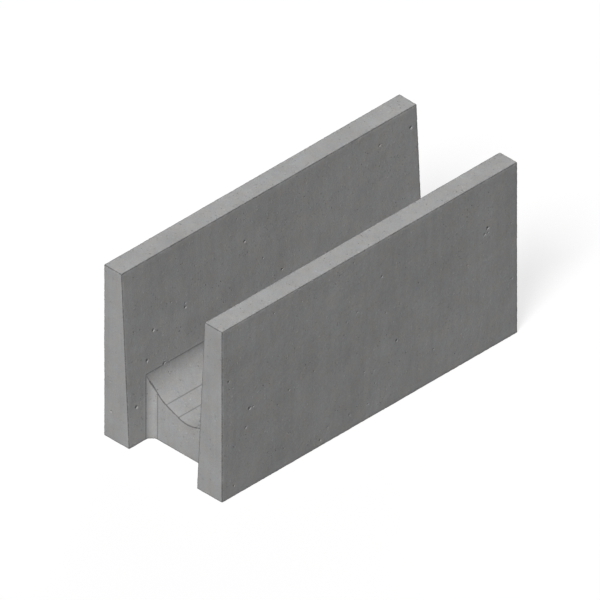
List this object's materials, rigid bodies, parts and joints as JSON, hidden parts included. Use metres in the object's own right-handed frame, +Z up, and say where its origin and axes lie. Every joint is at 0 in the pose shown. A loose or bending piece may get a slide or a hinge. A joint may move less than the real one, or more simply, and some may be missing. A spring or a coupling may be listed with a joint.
{
  "type": "lintel block",
  "caption": "U-shaped concrete lintel block with leaning inner walls, a low dished floor and a recess at each end.",
  "frame": {"origin": "middle of the bed face, on the surface that the block stands on", "axes": "+X along the block's length, +Y across its width, +Z up out of the open channel"},
  "size_m": [0.5, 0.2, 0.25],
  "materials": {
    "concrete": "matte"
  },
  "bodies": {
    "root": {"lintel_block": "concrete"}
  },
  "joints": []
}
